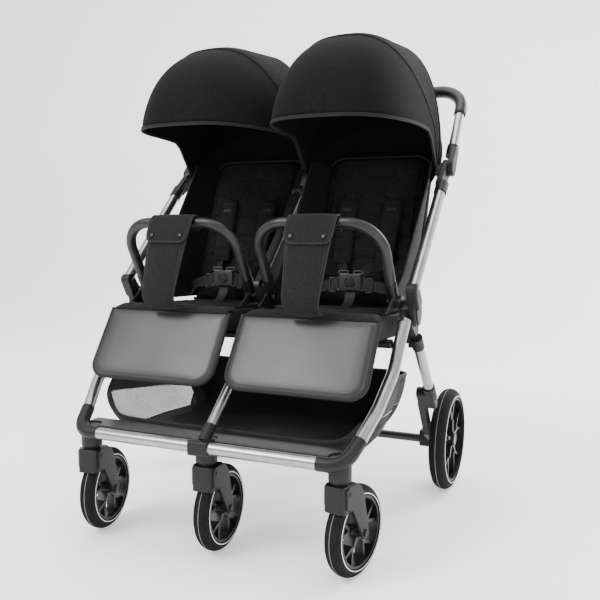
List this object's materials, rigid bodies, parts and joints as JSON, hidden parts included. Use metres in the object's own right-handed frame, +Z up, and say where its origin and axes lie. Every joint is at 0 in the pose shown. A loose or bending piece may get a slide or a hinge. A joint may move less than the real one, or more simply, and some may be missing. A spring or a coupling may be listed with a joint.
{
  "type": "twin pushchair",
  "caption": "Side-by-side twin pushchair with folding aluminium frame, swivel front casters, large rear wheels, reclining seats, sliding canopies, bumper bars and basket.",
  "frame": {"origin": "on the floor, at the middle of the bounding box", "axes": "+Z up, -Y the way it drives, +X to the seated child's left"},
  "size_m": [0.775, 0.818, 1.16],
  "materials": {
    "satin_aluminium": "satin anodised",
    "black_steel": "satin black powder coat",
    "black_nylon": "fine moulded grain",
    "rim_nylon": "semi-matt moulded",
    "tyre_foam": "matt, knurled tread",
    "grip_leatherette": "fine grained, stitched",
    "seat_fabric": "plain woven, quilted",
    "calf_leatherette": "satin coated fabric",
    "canopy_fabric": "tight plain weave",
    "basket_fabric": "coated weave and mesh",
    "buckle_plastic": "semi-gloss moulded"
  },
  "bodies": {
    "front_frame": {"front_bar": "satin_aluminium", "side_tubes": "satin_aluminium", "front_corner_left": "black_nylon", "front_corner_right": "black_nylon", "centre_block": "black_nylon", "centre_strut": "satin_aluminium", "footboard": "black_nylon", "hub_lower_left": "black_nylon", "hub_lower_right": "black_nylon", "hub_lower_centre": "black_nylon", "seat_frame": "black_steel", "seat_pad_left": "seat_fabric", "seat_pad_right": "seat_fabric", "basket": "basket_fabric"},
    "caster_left": {"caster_fork_left": "black_nylon"},
    "front_wheel_left": {"front_tyre_left": "tyre_foam", "front_rim_left": "rim_nylon"},
    "caster_centre": {"caster_fork_centre": "black_nylon"},
    "front_wheel_centre": {"front_tyre_centre": "tyre_foam", "front_rim_centre": "rim_nylon"},
    "caster_right": {"caster_fork_right": "black_nylon"},
    "front_wheel_right": {"front_tyre_right": "tyre_foam", "front_rim_right": "rim_nylon"},
    "rear_frame": {"rear_legs": "satin_aluminium", "rear_hinges": "black_nylon", "rear_bracket_left": "black_nylon", "rear_bracket_right": "black_nylon", "rear_axle": "black_steel"},
    "rear_wheel_left": {"rear_tyre_left": "tyre_foam", "rear_rim_left": "rim_nylon"},
    "rear_wheel_right": {"rear_tyre_right": "tyre_foam", "rear_rim_right": "rim_nylon"},
    "brake": {"brake_pedal": "black_nylon"},
    "push_frame": {"hub_upper_left": "black_nylon", "hub_upper_right": "black_nylon", "push_tubes": "satin_aluminium", "centre_post": "black_steel", "handle_joints": "black_nylon", "canopy_rear": "canopy_fabric"},
    "handle": {"handle_risers": "satin_aluminium", "handle_knuckles": "black_nylon", "handle_grip": "grip_leatherette"},
    "backrest_left": {"backrest_board_left": "black_nylon", "backrest_pad_left": "seat_fabric", "buckle_left": "buckle_plastic"},
    "buckle_release_left": {"buckle_button_left": "buckle_plastic"},
    "calf_left": {"calf_rest_left": "calf_leatherette"},
    "bumper_left": {"bumper_bar_left": "grip_leatherette", "crotch_flap_left": "seat_fabric"},
    "canopy_mid_left": {"canopy_middle_left": "canopy_fabric"},
    "canopy_visor_left": {"canopy_front_left": "canopy_fabric"},
    "backrest_right": {"backrest_board_right": "black_nylon", "backrest_pad_right": "seat_fabric", "buckle_right": "buckle_plastic"},
    "buckle_release_right": {"buckle_button_right": "buckle_plastic"},
    "calf_right": {"calf_rest_right": "calf_leatherette"},
    "bumper_right": {"bumper_bar_right": "grip_leatherette", "crotch_flap_right": "seat_fabric"},
    "canopy_mid_right": {"canopy_middle_right": "canopy_fabric"},
    "canopy_visor_right": {"canopy_front_right": "canopy_fabric"}
  },
  "joints": [
    {"name": "caster_swivel_left", "type": "hinge", "parent": "front_frame", "child": "caster_left", "pos_m": [0.3, -0.369, 0.22], "axis": [0, 0, 1], "continuous": true},
    {"name": "front_wheel_spin_left", "type": "hinge", "parent": "caster_left", "child": "front_wheel_left", "pos_m": [0.31012, -0.31596, 0.093], "axis": [0.9823, -0.1874, 0], "continuous": true},
    {"name": "caster_swivel_centre", "type": "hinge", "parent": "front_frame", "child": "caster_centre", "pos_m": [0, -0.369, 0.22], "axis": [0, 0, 1], "continuous": true},
    {"name": "front_wheel_spin_centre", "type": "hinge", "parent": "caster_centre", "child": "front_wheel_centre", "pos_m": [-0.00123, -0.31501, 0.093], "axis": [0.9997, 0.0227, 0], "continuous": true},
    {"name": "caster_swivel_right", "type": "hinge", "parent": "front_frame", "child": "caster_right", "pos_m": [-0.3, -0.369, 0.22], "axis": [0, 0, 1], "continuous": true},
    {"name": "front_wheel_spin_right", "type": "hinge", "parent": "caster_right", "child": "front_wheel_right", "pos_m": [-0.30761, -0.31554, 0.093], "axis": [0.99, 0.1409, 0], "continuous": true},
    {"name": "rear_wheel_spin_left", "type": "hinge", "parent": "rear_frame", "child": "rear_wheel_left", "pos_m": [0.358, 0.276, 0.133], "axis": [1, 0, 0], "continuous": true},
    {"name": "rear_wheel_spin_right", "type": "hinge", "parent": "rear_frame", "child": "rear_wheel_right", "pos_m": [-0.358, 0.276, 0.133], "axis": [1, 0, 0], "continuous": true},
    {"name": "frame_fold", "type": "hinge", "parent": "front_frame", "child": "push_frame", "pos_m": [0, -0.093, 0.51], "axis": [1, 0, 0], "range_deg": [0, 40]},
    {"name": "rear_leg_fold", "type": "hinge", "parent": "front_frame", "child": "rear_frame", "pos_m": [0, -0.045, 0.468], "axis": [-1, 0, 0], "range_deg": [0, 30]},
    {"name": "handle_fold", "type": "hinge", "parent": "push_frame", "child": "handle", "pos_m": [0, 0.175, 0.842], "axis": [-1, 0, 0], "range_deg": [0, 95]},
    {"name": "brake_press", "type": "hinge", "parent": "rear_frame", "child": "brake", "pos_m": [-0.215, 0.276, 0.125], "axis": [-1, 0, 0], "range_deg": [0, 18]},
    {"name": "recline_left", "type": "hinge", "parent": "push_frame", "child": "backrest_left", "pos_m": [0.1755, 0.092, 0.5], "axis": [-1, 0, 0], "range_deg": [0, 30]},
    {"name": "buckle_press_left", "type": "slide", "parent": "backrest_left", "child": "buckle_release_left", "axis": [0, 1, 0], "range_m": [0, 0.003], "stiffness_N_per_m": 400},
    {"name": "calf_raise_left", "type": "hinge", "parent": "front_frame", "child": "calf_left", "pos_m": [0.1755, -0.232, 0.494], "axis": [-1, 0, 0], "range_deg": [0, 55]},
    {"name": "bumper_open_left", "type": "hinge", "parent": "front_frame", "child": "bumper_left", "pos_m": [0.1755, -0.11, 0.535], "axis": [1, 0, 0], "range_deg": [0, 60], "deforming": ["crotch_flap_left"]},
    {"name": "canopy_fold_left", "type": "hinge", "parent": "push_frame", "child": "canopy_visor_left", "pos_m": [0.1755, 0.13, 0.83], "axis": [-1, 0, 0], "range_deg": [0, 71]},
    {"name": "canopy_mid_fold_left", "type": "hinge", "parent": "push_frame", "child": "canopy_mid_left", "pos_m": [0.1755, 0.13, 0.83], "axis": [-1, 0, 0], "range_deg": [0, 35.5]},
    {"name": "recline_right", "type": "hinge", "parent": "push_frame", "child": "backrest_right", "pos_m": [-0.1755, 0.092, 0.5], "axis": [-1, 0, 0], "range_deg": [0, 30]},
    {"name": "buckle_press_right", "type": "slide", "parent": "backrest_right", "child": "buckle_release_right", "axis": [0, 1, 0], "range_m": [0, 0.003], "stiffness_N_per_m": 400},
    {"name": "calf_raise_right", "type": "hinge", "parent": "front_frame", "child": "calf_right", "pos_m": [-0.1755, -0.232, 0.494], "axis": [-1, 0, 0], "range_deg": [0, 55]},
    {"name": "bumper_open_right", "type": "hinge", "parent": "front_frame", "child": "bumper_right", "pos_m": [-0.1755, -0.11, 0.535], "axis": [1, 0, 0], "range_deg": [0, 60], "deforming": ["crotch_flap_right"]},
    {"name": "canopy_fold_right", "type": "hinge", "parent": "push_frame", "child": "canopy_visor_right", "pos_m": [-0.1755, 0.13, 0.83], "axis": [-1, 0, 0], "range_deg": [0, 71]},
    {"name": "canopy_mid_fold_right", "type": "hinge", "parent": "push_frame", "child": "canopy_mid_right", "pos_m": [-0.1755, 0.13, 0.83], "axis": [-1, 0, 0], "range_deg": [0, 35.5]}
  ],
  "couplings": [
    {"joint": "rear_leg_fold", "follows": "frame_fold", "ratio": 0.75},
    {"joint": "canopy_mid_fold_left", "follows": "canopy_fold_left", "ratio": 0.5},
    {"joint": "canopy_mid_fold_right", "follows": "canopy_fold_right", "ratio": 0.5}
  ]
}
